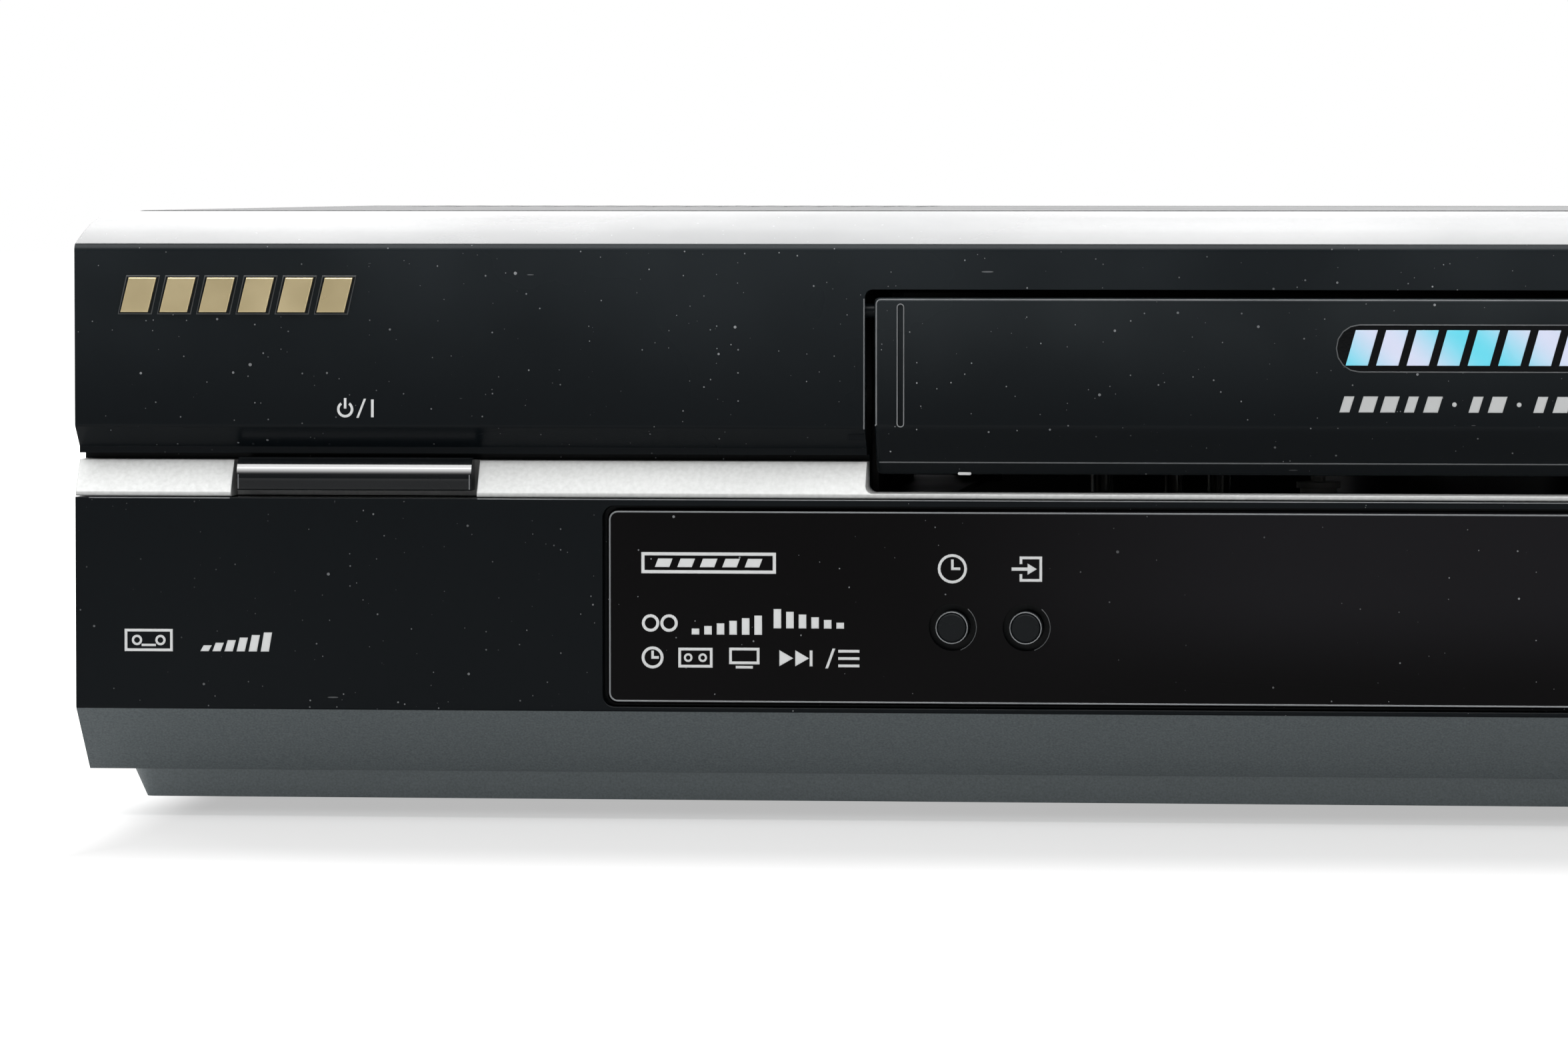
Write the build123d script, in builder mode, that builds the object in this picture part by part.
from build123d import *
import math
import os

# Front-loading video cassette recorder, in millimetres.
# X runs along the front from left to right, Y runs from the front to the back, Z is up.
# The origin is on the table, in the middle of the machine's length and depth.
# A "d" in a name is a depth behind the plane of the front face.

os.makedirs("parts", exist_ok=True)

# ---- overall sizes ----
width = 430.0
depth = 285.0
socket_proud = 9.0
skirt_z = 2.3
fit = 0.3

round_proud = 1.3
front_y = -depth / 2 + round_proud
rear_y = depth / 2 - socket_proud

# ---- front panel ----
wall = 2.4
face_top_z = 87.4
crease_z = 60.0
groove_roof_z = 55.8
overhang_z = 56.8
overhang_d = 3.7
groove_floor_z = 49.2
groove_seat_d = 8.5
chin_z = 17.2
chin_bottom_z = 7.1
chin_d = 11.0
shelf_d = 37.3
shelf_z = 92.4
shelf_mid_d = 16.6
shelf_mid_z = 91.1

# ---- cassette door ----
door_length = 186.8
door_top_z = 79.6
door_bottom_z = 52.8
door_sheet = 2.0
door_gap_x = 1.4
door_gap_top = 1.2
door_pin_r = 1.1
pin_clearance = 0.08
door_pin_d = 2.2
door_pin_z = 77.6

spring_d = 5.8
spring_z = 70.0
spring_r = 2.2
wire = 0.5
spring_peg_r = 1.7
spring_peg = 5.4

# ---- bars in the groove ----
bar_length = 35.8
bar_x = 172.4
bar_height = 5.0
bar_round_r = 3.2
bar_recess_length = 37.6
bar_d = 0.3
bar_depth = 4.2
bar_stem_r = 2.0
button_travel = 0.8
bar_travel = 1.5

# ---- window and the round buttons in it ----
window_length = 267.6
window_z = 18.3
window_height = 29.4
window_sheet = 2.0
window_step_d = 2.3
round_cap_r = 2.5
round_hole_r = 3.55
round_button_z = 30.1
round_button_x = (70.5, 81.6)

# ---- transport buttons ----
key_length = 15.0
key_height = 6.6
key_pitch_x = 19.0
key_pitch_z = 12.0
keys_x = 174.0
keys_z = 33.0

# ---- base tray ----
tray_floor = 2.5
tray_taper = 24.0
skirt_d = 16.0
flange_top_z = 10.4
side_wall_top_z = 22.0
foot_r = 9.0
foot_recess = 1.2
base_slot = 3.2

# ---- top cover ----
cover_sheet = 1.0
cover_half = width / 2 - 0.8
cover_top_z = 92.5
cover_bottom_z = 8.6
cover_bend_r = 3.0
seam_gap = 0.6
cover_slot = 2.4

# ---- front circuit board ----
board_sheet = 1.6
board_d = 15.0
switch_height = 3.6

# ---- tape deck ----
deck_z = 22.0
deck_sheet = 1.2
deck_half = 104.0
deck_front_d = 20.0
deck_rear_d = 208.0
reel_x = 46.25
reel_d = 71.5
reel_disc_r = 22.0
reel_stud_r = 1.5
drum_d = 168.0
drum_r = 31.0
drum_tilt = 5.97
capstan_x = 62.0
capstan_d = 133.0
capstan_r = 1.5
running = 0.06
deck_top = deck_z + deck_sheet

# ---- cassette lift ----
cassette_width = 187.0
lift_travel = 42.0
lift_drop = 22.0
holder_front_d = 18.5
holder_length = 66.0
holder_floor_z = 48.8
holder_top_z = 77.2
lift_sheet = 1.0
holder_half = cassette_width / 2 + 1.8
slider_half = holder_half + 2.2
bracket_half = slider_half + 2.2


def at_depth(d):
    """Vertical plane facing forward, d behind the front face; its axes are X and Z."""
    return Plane.XZ.offset(-(front_y + d))


def at_height(z):
    """Level plane at height z; its axes are X and Y."""
    return Plane.XY.offset(z)


def y_at(d):
    """Y of a point d behind the front face."""
    return front_y + d


# ---------------------------------------------------------------- front panel
# One moulding: a level shelf that curves over to the face, a groove along the middle and a
# chin that slopes back under the machine.  Hollow behind, open to the back and underneath.
face_section = [
    (y_at(0), face_top_z),
    (y_at(0), crease_z),
    (y_at(overhang_d), overhang_z),
    (y_at(overhang_d), groove_roof_z),
    (y_at(groove_seat_d), groove_roof_z),
    (y_at(groove_seat_d), groove_floor_z),
    (y_at(0), groove_floor_z),
    (y_at(0), chin_z),
    (y_at(chin_d), chin_bottom_z),
    (y_at(shelf_d), chin_bottom_z),
    (y_at(shelf_d), shelf_z),
]
door_half = door_length / 2
opening_half = door_half + door_gap_x
opening_top_z = door_top_z + door_gap_top
opening_bottom_z = groove_floor_z + 0.9
bar_z = opening_bottom_z + 0.2 + bar_height / 2
throat_wall = 2.6
throat_d = 13.0
window_half = window_length / 2
window_ledge = 3.0
lip_depth = 8.0
under_z = chin_bottom_z - 2 * wall
hollow_top_z = shelf_z - wall

with BuildPart() as front_panel:
    with BuildSketch(Plane.YZ) as panel_section:
        with BuildLine():
            Polyline(*face_section)
            ThreePointArc(
                (y_at(shelf_d), shelf_z),
                (y_at(shelf_mid_d), shelf_mid_z),
                (y_at(0), face_top_z),
            )
        make_face()
        fillet(panel_section.vertices().sort_by_distance((y_at(0), face_top_z))[0], 1.2)
        fillet(panel_section.vertices().sort_by_distance((y_at(0), crease_z))[0], 0.6)
        fillet(panel_section.vertices().sort_by_distance((y_at(0), chin_z))[0], 0.6)
    extrude(amount=width / 2, both=True)
    with BuildSketch(Plane.YZ) as panel_hollow:
        add(panel_section.sketch_local)
        offset(amount=-wall, kind=Kind.INTERSECTION)
        with Locations((y_at(shelf_d), (under_z + crease_z) / 2)):
            Rectangle(2 * (shelf_d - chin_d - wall), crease_z - under_z, mode=Mode.ADD)
        with Locations((y_at(shelf_d), (under_z + hollow_top_z) / 2)):
            Rectangle(4 * wall, hollow_top_z - under_z)
    extrude(amount=width / 2 - wall, both=True, mode=Mode.SUBTRACT)
    # throat behind the door, with the ears that hold its pins
    throat_top_z = face_top_z - 3.4
    ear_bottom_z = groove_roof_z + wall
    for side in (-1, 1):
        throat_x = side * (opening_half + throat_wall / 2)
        with BuildSketch(at_depth(groove_seat_d)):
            with Locations((throat_x, (groove_floor_z + throat_top_z) / 2)):
                Rectangle(throat_wall, throat_top_z - groove_floor_z)
        extrude(amount=-(throat_d - groove_seat_d))
        with BuildSketch(at_depth(wall / 2)):
            with Locations((throat_x, (ear_bottom_z + throat_top_z) / 2)):
                Rectangle(throat_wall, throat_top_z - ear_bottom_z)
        extrude(amount=-(groove_seat_d - wall / 2))
    with BuildSketch(at_depth(groove_seat_d)):
        with Locations((0, groove_floor_z - 1.0)):
            Rectangle(2 * (opening_half + throat_wall), 1.6)
    extrude(amount=-7.5)
    # peg for the door spring
    with BuildSketch(Plane.YZ.offset(-(opening_half + throat_wall))):
        with Locations((y_at(spring_d), spring_z)):
            Circle(spring_peg_r)
    extrude(amount=-spring_peg)
    # ledge that the window lies on
    with BuildSketch(at_depth(wall / 2)):
        with Locations((0, window_z + window_height / 2)):
            Rectangle(window_length + 2 * window_ledge, window_height + 1.6)
    extrude(amount=-(wall / 2 + 1.9))
    with BuildSketch(at_depth(0)):
        with Locations((0, window_z + window_height / 2)):
            RectangleRounded(window_length + 1.4, window_height + 1.0, 1.8)
    extrude(amount=-window_step_d, mode=Mode.SUBTRACT)
    with BuildSketch(at_depth(0)):
        with Locations((0, window_z + window_height / 2)):
            RectangleRounded(window_length - 6, window_height - 6, 1.5)
    extrude(amount=-wall * 3, mode=Mode.SUBTRACT)
    # cassette opening
    with BuildSketch(at_depth(0)):
        with Locations((0, (opening_top_z + opening_bottom_z) / 2)):
            RectangleRounded(2 * opening_half, opening_top_z - opening_bottom_z, 1.2)
    extrude(amount=-(groove_seat_d + wall + 2), mode=Mode.SUBTRACT)
    with BuildSketch(Plane.YZ):
        with Locations((y_at(door_pin_d), door_pin_z)):
            Circle(door_pin_r + pin_clearance)
    extrude(amount=opening_half + throat_wall + 0.5, both=True, mode=Mode.SUBTRACT)
    # holes for the stems of the bars and of the transport keys
    with BuildSketch(at_depth(0)):
        with Locations((-bar_x, bar_z), (bar_x, bar_z)):
            Circle(bar_stem_r + fit)
        with Locations((keys_x, keys_z)):
            with GridLocations(key_pitch_x, key_pitch_z, 3, 2):
                RectangleRounded(key_length + 2 * fit, key_height + 2 * fit, 3.4)
    extrude(amount=-(groove_seat_d + wall + 1), mode=Mode.SUBTRACT)
    # tongue that the top cover slides over
    with BuildSketch(at_depth(shelf_d - 3)) as tongue:
        with Locations((0, (flange_top_z + 1 + cover_top_z - cover_sheet - fit) / 2)):
            RectangleRounded(
                2 * (cover_half - cover_sheet - fit),
                cover_top_z - cover_sheet - fit - flange_top_z - 1,
                cover_bend_r - cover_sheet,
            )
            RectangleRounded(
                2 * (cover_half - cover_sheet - fit - 1.8),
                cover_top_z - cover_sheet - fit - flange_top_z - 1 - 3.0,
                1.0,
                mode=Mode.SUBTRACT,
            )
        with Locations((0, flange_top_z)):
            Rectangle(width, 12, mode=Mode.SUBTRACT)
    extrude(amount=-(3 + lip_depth))
front_panel.part.label = "front_panel"
export_step(front_panel.part, "parts/front_panel.step")

# ---------------------------------------------------------------- groove trim
# A light strip laid in the groove: its face slopes forward and down to a rounded bead.  It is
# cut away for the cassette opening and hollowed for the two bars.
trim_web = 1.7
trim_back_d = groove_seat_d - fit / 2
trim_bottom_z = groove_floor_z + fit / 2
trim_top_z = groove_roof_z - 1.0
trim_section = [
    (y_at(overhang_d + 0.1), trim_top_z),
    (y_at(0.25), opening_bottom_z - 0.1),
    (y_at(0.25), trim_bottom_z),
    (y_at(trim_back_d), trim_bottom_z),
    (y_at(trim_back_d), trim_top_z),
]

with BuildPart() as groove_trim:
    with BuildSketch(Plane.YZ) as trim_profile:
        with BuildLine():
            Polyline(*trim_section, close=True)
        make_face()
        fillet(trim_profile.vertices().group_by(Axis.X)[0], 0.35)
    extrude(amount=width / 2, both=True)
    with BuildSketch(at_depth(-1)):
        with Locations((0, opening_top_z)):
            RectangleRounded(2 * opening_half, 2 * (opening_top_z - opening_bottom_z), 1.2)
    extrude(amount=-(groove_seat_d + 3), mode=Mode.SUBTRACT)
    with BuildSketch(at_depth(-1)):
        with Locations((-bar_x, groove_roof_z), (bar_x, groove_roof_z)):
            RectangleRounded(bar_recess_length, 2 * (groove_roof_z - groove_floor_z) + 2, 0.8)
    extrude(amount=-(groove_seat_d - trim_web + 1), mode=Mode.SUBTRACT)
    with BuildSketch(at_depth(0)):
        with Locations((-bar_x, bar_z), (bar_x, bar_z)):
            Circle(bar_stem_r + fit)
    extrude(amount=-(groove_seat_d + 1), mode=Mode.SUBTRACT)
groove_trim.part.label = "groove_trim"
export_step(groove_trim.part, "parts/groove_trim.step")

# ---------------------------------------------------------------- display window
# Smoked acrylic sheet with a bevelled rim and four round holes for the buttons.
with BuildPart() as display_window:
    with BuildSketch(at_depth(0.15)):
        with Locations((0, window_z + window_height / 2)):
            RectangleRounded(window_length, window_height, 1.6)
    extrude(amount=-window_sheet)
    window_front = display_window.faces().sort_by(Axis.Y)[0]
    chamfer(window_front.edges(), 0.5)
    with BuildSketch(at_depth(0)):
        for x in round_button_x:
            with Locations((-x, round_button_z), (x, round_button_z)):
                Circle(round_hole_r)
    extrude(amount=-(window_sheet + 1), mode=Mode.SUBTRACT)
display_window.part.label = "display_window"
export_step(display_window.part, "parts/display_window.step")

# ---------------------------------------------------------------- cassette door
# Flap that hangs from two pins at its upper corners.  Its lower part leans back over the
# groove and ends in a curled lip; a ladder of ribs stiffens the inside.
door_face_d = 0.2
door_bend_z = crease_z
door_lip_z = 54.7
door_groove_x = 89.45
door_groove_z = 69.4
door_groove_width = 0.95
door_groove_length = 18.4
door_groove_depth = 0.3
door_outside = [
    (y_at(door_face_d), door_top_z),
    (y_at(door_face_d), door_bend_z),
    (y_at(overhang_d - 0.3), door_lip_z),
    (y_at(overhang_d + 1.0), door_bottom_z),
]
door_inside = [
    (y_at(overhang_d + 2.6), door_bottom_z + 0.6),
    (y_at(overhang_d - 0.3 + door_sheet), door_lip_z + 0.8),
    (y_at(door_face_d + door_sheet), door_bend_z + 0.5),
    (y_at(door_face_d + door_sheet), door_top_z),
]
with BuildPart() as cassette_door:
    with BuildSketch(Plane.YZ) as door_profile:
        with BuildLine():
            Polyline(*door_outside, *door_inside, close=True)
        make_face()
        fillet(door_profile.vertices().sort_by_distance((y_at(door_face_d), door_top_z))[0], 0.7)
        fillet(door_profile.vertices().sort_by_distance((y_at(door_face_d), door_bend_z))[0], 2.0)
        fillet(door_profile.vertices().sort_by_distance(door_outside[3])[0], 0.6)
    extrude(amount=door_length / 2, both=True)
    fillet(cassette_door.edges().filter_by(Axis.Z).group_by(Axis.Y)[0], 0.8)
    # a fine upright groove near each end
    with BuildSketch(at_depth(0)):
        with Locations((-door_groove_x, door_groove_z), (door_groove_x, door_groove_z)):
            RectangleRounded(door_groove_width, door_groove_length, door_groove_width * 0.45)
    extrude(amount=-(door_face_d + door_groove_depth), mode=Mode.SUBTRACT)
    # ribs
    with BuildSketch(at_depth(door_face_d + door_sheet - 0.2)):
        with Locations((0, 69)):
            with GridLocations(30.0, 1, 6, 1):
                Rectangle(1.0, 14)
            Rectangle(150, 1.0)
    extrude(amount=-1.2)
    # pins and the round ears they stand on
    with BuildSketch(Plane.YZ.offset(-door_half)):
        with Locations((y_at(door_pin_d), door_pin_z)):
            Circle(1.5)
    extrude(amount=door_length)
    with BuildSketch(Plane.YZ):
        with Locations((y_at(door_pin_d), door_pin_z)):
            Circle(door_pin_r)
    extrude(amount=opening_half + throat_wall, both=True)
cassette_door.part.label = "cassette_door"
export_step(cassette_door.part, "parts/cassette_door.step")

# ---------------------------------------------------------------- door spring
# Torsion spring on a peg beside the throat, near the door's left pin, with two straight legs.
spring_turns = 4.25
spring_pitch = 0.9
spring_x = -(opening_half + throat_wall + 0.8)
spring_centre = (spring_x, y_at(spring_d), spring_z)
spring_leg = 6.0
with BuildPart() as door_spring:
    with BuildLine() as spring_path:
        coil = Helix(
            pitch=spring_pitch,
            height=spring_pitch * spring_turns,
            radius=spring_r,
            center=spring_centre,
            direction=(-1, 0, 0),
        )
    with BuildSketch(Plane(origin=coil @ 0, x_dir=(1, 0, 0), z_dir=coil % 0)):
        Rectangle(wire, wire)
    sweep(path=spring_path.line, is_frenet=True)
    for end, way in ((coil @ 0, -(coil % 0)), (coil @ 1, coil % 1)):
        with BuildSketch(Plane(origin=end, x_dir=(1, 0, 0), z_dir=way)):
            Rectangle(wire, wire)
        extrude(amount=spring_leg)
door_spring.part.label = "door_spring"
export_step(door_spring.part, "parts/door_spring.step")

# ---------------------------------------------------------------- bars in the groove
# Power bar on the left, eject bar on the right: rounded at the top, flat in front, each on a
# round stem that reaches a switch on the front board.
switch_face_d = board_d - switch_height


def make_bar(x):
    """Bar centred at x, with its stem."""
    with BuildPart() as bar:
        with BuildSketch(Plane.YZ.offset(x - bar_length / 2)) as bar_profile:
            with Locations((y_at(bar_d + bar_depth / 2), bar_z)):
                Rectangle(bar_depth, bar_height)
            upper_front = bar_profile.vertices().group_by(Axis.X)[0].sort_by(Axis.Y)
            fillet(upper_front[-1], bar_round_r)
            fillet(bar_profile.vertices().group_by(Axis.Y)[0].sort_by(Axis.X)[0], 0.4)
        extrude(amount=bar_length)
        with BuildSketch(at_depth(bar_d + bar_depth)):
            with Locations((x, bar_z)):
                Circle(bar_stem_r)
        extrude(amount=-(switch_face_d - bar_travel - fit - bar_d - bar_depth))
    return bar.part


power_button = make_bar(-bar_x)
power_button.label = "power_button"
export_step(power_button, "parts/power_button.step")
eject_button = make_bar(bar_x)
eject_button.label = "eject_button"
export_step(eject_button, "parts/eject_button.step")

# ---------------------------------------------------------------- round buttons
# Domed caps that stand in the window's holes.  A collar behind the window keeps each one in.


def make_round_button(x):
    """Round button at x: a domed cap, a collar and a stem on one axis."""
    collar_d = 0.15 + window_sheet + fit
    collar = 0.8
    with BuildPart() as button:
        with BuildSketch(at_depth(-round_proud)):
            with Locations((x, round_button_z)):
                Circle(round_cap_r)
        extrude(amount=-(round_proud + collar_d))
        chamfer(button.faces().sort_by(Axis.Y)[0].edges(), 0.5)
        with BuildSketch(at_depth(collar_d)):
            with Locations((x, round_button_z)):
                Circle(round_hole_r + 0.9)
        extrude(amount=-collar)
        with BuildSketch(at_depth(collar_d + collar)):
            with Locations((x, round_button_z)):
                Circle(1.6)
        extrude(amount=-(switch_face_d - button_travel - fit - collar_d - collar))
    return button.part


round_names = ("timer_button", "input_button", "channel_down_button", "channel_up_button")
round_places = (-round_button_x[1], -round_button_x[0], round_button_x[0], round_button_x[1])
for name, x in zip(round_names, round_places):
    round_button = make_round_button(x)
    round_button.label = name
    export_step(round_button, f"parts/{name}.step")

# ---------------------------------------------------------------- transport buttons
# Six pill-shaped keys in two rows on the right of the lower face.
key_proud = 0.7


def make_key(x, z):
    """Pill-shaped key with a stepped collar and a stem."""
    with BuildPart() as key:
        with BuildSketch(at_depth(-key_proud)):
            with Locations((x, z)):
                RectangleRounded(key_length, key_height, key_height / 2 - 0.01)
        extrude(amount=-(key_proud + wall + 1.0))
        chamfer(key.faces().sort_by(Axis.Y)[0].edges(), 0.5)
        with BuildSketch(at_depth(wall + fit)):
            with Locations((x, z)):
                RectangleRounded(key_length + 2, key_height + 2, key_height / 2)
        extrude(amount=-0.8)
        with BuildSketch(at_depth(wall + 1.0)):
            with Locations((x, z)):
                Circle(1.6)
        extrude(amount=-(switch_face_d - button_travel - fit - wall - 1.0))
    return key.part


key_names = {
    "rewind_button": (-1, 1),
    "play_button": (0, 1),
    "forward_button": (1, 1),
    "record_button": (-1, -1),
    "stop_button": (0, -1),
    "pause_button": (1, -1),
}
key_places = {
    name: (keys_x + column * key_pitch_x, keys_z + row * key_pitch_z / 2)
    for name, (column, row) in key_names.items()
}
for name, (x, z) in key_places.items():
    transport_key = make_key(x, z)
    transport_key.label = name
    export_step(transport_key, f"parts/{name}.step")

# ---------------------------------------------------------------- base tray
# Moulded tray: a sunken floor with sloping sides, a flange that stands on them, low side walls
# for the cover's screws, posts for the boards, and rows of slots for cooling air.
tray_rise = flange_top_z - 2.2 - skirt_z
tray_spread = tray_rise * math.tan(math.radians(tray_taper))
flange_half = cover_half - cover_sheet - fit - 0.6
pan_half = flange_half - 2.0
pan_corner_r = 1.2
pan_front_d = skirt_d
pan_rear_y = rear_y - 8.0
flange_front_d = skirt_d - 2.0
flange_rear_y = rear_y - 1.4
board_z = flange_top_z - 2.0
post_r = 3.5
pan_length = pan_rear_y - y_at(pan_front_d)
pan_mid_y = (pan_rear_y + y_at(pan_front_d)) / 2
board_edge_x = flange_half - 10.3
board_inner_x = deck_half + 4.0
board_mid_x = (board_edge_x + board_inner_x) / 2
board_front_y = y_at(24.2)
board_rear_y = rear_y - 16.5
power_board_length = 146.0
outer_post_x = board_edge_x - 6.0
inner_post_x = board_inner_x + 10.0
rear_post_y = board_rear_y - 7.0
strip_post_y = board_rear_y - 33.0
power_post_y = board_rear_y - power_board_length + 9.0
power_posts = (
    (-outer_post_x, power_post_y),
    (-inner_post_x, power_post_y),
    (-outer_post_x, rear_post_y),
    (-inner_post_x, rear_post_y),
)
main_posts = (
    (inner_post_x, board_front_y + 5),
    (outer_post_x, board_front_y + 5),
    (outer_post_x, 0),
    (inner_post_x, 0),
    (outer_post_x, rear_post_y - 2),
    (-96, strip_post_y),
    (60, strip_post_y),
)
deck_post_x = deck_half - 6.0
deck_post_y = (y_at(deck_front_d + 5.2), y_at(deck_rear_d - 6.8))
deck_posts = [(side * deck_post_x, y) for y in deck_post_y for side in (-1, 1)]
foot_x = flange_half - 42.0
foot_places = ((-foot_x, -80), (foot_x, -80), (-foot_x, 96), (foot_x, 96))
side_wall_front_y = y_at(shelf_d + lip_depth + 1.5)
side_screw_y = (-70.0, 70.0)
side_screw_z = 16.0
screw_r = 1.5

with BuildPart() as base_chassis:
    with BuildSketch(at_height(skirt_z)):
        with Locations((0, pan_mid_y)):
            RectangleRounded(
                2 * (pan_half - tray_spread), pan_length - 2 * tray_spread, pan_corner_r
            )
    extrude(amount=tray_rise, taper=-tray_taper)
    with BuildSketch(at_height(skirt_z + tray_rise)):
        with Locations((0, (flange_rear_y + y_at(flange_front_d)) / 2)):
            Rectangle(2 * flange_half, flange_rear_y - y_at(flange_front_d))
    extrude(amount=2.2)
    with BuildSketch(at_height(skirt_z + tray_floor)):
        with Locations((0, pan_mid_y)):
            RectangleRounded(2 * (pan_half - tray_spread - 3), pan_length - 2 * tray_spread - 6, 4)
    extrude(amount=tray_rise + 4, mode=Mode.SUBTRACT)
    # side walls
    with BuildSketch(at_height(flange_top_z)):
        for side in (-1, 1):
            with Locations((side * (flange_half - 1), (side_wall_front_y + flange_rear_y) / 2)):
                Rectangle(2, flange_rear_y - side_wall_front_y)
    extrude(amount=side_wall_top_z - flange_top_z)
    with BuildSketch(Plane.YZ):
        for y in side_screw_y:
            with Locations((y, side_screw_z)):
                Circle(screw_r + 0.1)
    extrude(amount=flange_half + 1, both=True, mode=Mode.SUBTRACT)
    # posts for the boards and for the deck
    with BuildSketch(at_height(skirt_z + tray_floor)):
        with Locations(*power_posts, *main_posts):
            Circle(post_r)
    extrude(amount=board_z - fit / 3 - skirt_z - tray_floor)
    with BuildSketch(at_height(skirt_z + tray_floor)):
        with Locations(*deck_posts):
            Circle(post_r + 0.5)
    extrude(amount=deck_z - skirt_z - tray_floor)
    # feet sit in shallow round recesses
    with BuildSketch(at_height(skirt_z)):
        with Locations(*foot_places):
            Circle(foot_r + 0.2)
    extrude(amount=foot_recess, mode=Mode.SUBTRACT)
    # cooling slots under the power board and under the deck
    with BuildSketch(at_height(skirt_z)):
        with Locations((-board_mid_x - 2, board_rear_y - power_board_length / 2)):
            with GridLocations(10, 40, 5, 2):
                Rectangle(base_slot, 28)
        with Locations((10, -20)):
            with GridLocations(12, 34, 6, 2):
                Rectangle(base_slot, 24)
    extrude(amount=tray_floor + 0.1, mode=Mode.SUBTRACT)
base_chassis.part.label = "base_chassis"
export_step(base_chassis.part, "parts/base_chassis.step")

# ---------------------------------------------------------------- rubber feet
with BuildPart() as rubber_feet:
    with BuildSketch(at_height(0)):
        with Locations(*foot_places):
            Circle(foot_r)
    extrude(amount=skirt_z + foot_recess)
    chamfer(rubber_feet.faces().sort_by(Axis.Z)[0:4].edges(), 0.6)
rubber_feet.part.label = "rubber_feet"
export_step(rubber_feet.part, "parts/rubber_feet.step")

# ---------------------------------------------------------------- rear panel
# Pressed steel plate that closes the back, with a cut-out for every socket.
panel_sheet = 1.2
rear_panel_half = flange_half - 0.4
rear_panel_bottom_z = skirt_z + tray_rise
rear_panel_top_z = cover_top_z - cover_sheet - 0.2
scart_size = (47.5, 15.5)
scart_places = ((-30, 27), (-30, 50))
jack_r = 5.2
jack_places = ((28, 27), (28, 45), (44, 27), (44, 45))
aerial_r = 5.6
aerial_places = ((80, 26), (98, 26))
inlet_size = (19.0, 12.0)
inlet_place = (26.0 - board_edge_x, 26)
rear_screw_x = rear_panel_half - 12.0
rear_screw_places = ((-rear_screw_x, 60), (-60, 80), (60, 80), (rear_screw_x, 60))


def at_rear(inset):
    """Vertical plane facing forward, inset in front of the outside of the rear panel."""
    return Plane.XZ.offset(-(rear_y - inset))


with BuildPart() as rear_panel:
    with BuildSketch(at_rear(panel_sheet)):
        with Locations((0, (rear_panel_bottom_z + rear_panel_top_z) / 2)):
            RectangleRounded(2 * rear_panel_half, rear_panel_top_z - rear_panel_bottom_z, 1.5)
        with Locations(*scart_places):
            RectangleRounded(scart_size[0] + 0.6, scart_size[1] + 0.6, 2, mode=Mode.SUBTRACT)
        with Locations(*jack_places):
            Circle(jack_r + fit, mode=Mode.SUBTRACT)
        with Locations(*aerial_places):
            Circle(aerial_r + fit, mode=Mode.SUBTRACT)
        with Locations(inlet_place):
            RectangleRounded(inlet_size[0] + 0.6, inlet_size[1] + 0.6, 2, mode=Mode.SUBTRACT)
        with Locations(*rear_screw_places):
            Circle(screw_r + 0.1, mode=Mode.SUBTRACT)
        with Locations((-150, 62)):
            with GridLocations(7, 1, 10, 1):
                Rectangle(cover_slot, 24, mode=Mode.SUBTRACT)
    extrude(amount=-panel_sheet)
rear_panel.part.label = "rear_panel"
export_step(rear_panel.part, "parts/rear_panel.step")

# ---------------------------------------------------------------- top cover
# Folded steel sheet over the top and both sides, with a lip folded down over the rear panel's
# edge, cooling slots at the back and countersunk dimples for the side screws.
cover_front_y = y_at(shelf_d + seam_gap)
cover_length = rear_y - cover_front_y
with BuildPart() as top_cover:
    with BuildSketch(Plane.XZ.offset(-rear_y)):
        with Locations((0, cover_top_z / 2)):
            RectangleRounded(2 * cover_half, cover_top_z, cover_bend_r)
            RectangleRounded(
                2 * (cover_half - cover_sheet),
                cover_top_z - 2 * cover_sheet,
                cover_bend_r - cover_sheet,
                mode=Mode.SUBTRACT,
            )
        with Locations((0, cover_bottom_z / 2)):
            Rectangle(width + 1, cover_bottom_z, mode=Mode.SUBTRACT)
    extrude(amount=cover_length)
    # slots over the power board, at the rear left, and a shorter field at the rear right
    with BuildSketch(at_height(cover_top_z)):
        with Locations((-150, 96)):
            with GridLocations(6, 30, 16, 2):
                Rectangle(cover_slot, 24)
        with Locations((150, 96)):
            with GridLocations(6, 30, 10, 1):
                Rectangle(cover_slot, 24)
    extrude(amount=-2 * cover_sheet, mode=Mode.SUBTRACT)
    with BuildSketch(Plane.YZ.offset(-cover_half)):
        with Locations((70, 62)):
            with GridLocations(8, 1, 9, 1):
                Rectangle(cover_slot, 26)
        for y in side_screw_y:
            with Locations((y, side_screw_z)):
                Circle(screw_r + 0.2)
    extrude(amount=2 * cover_half, mode=Mode.SUBTRACT)
top_cover.part.label = "top_cover"
export_step(top_cover.part, "parts/top_cover.step")

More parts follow.
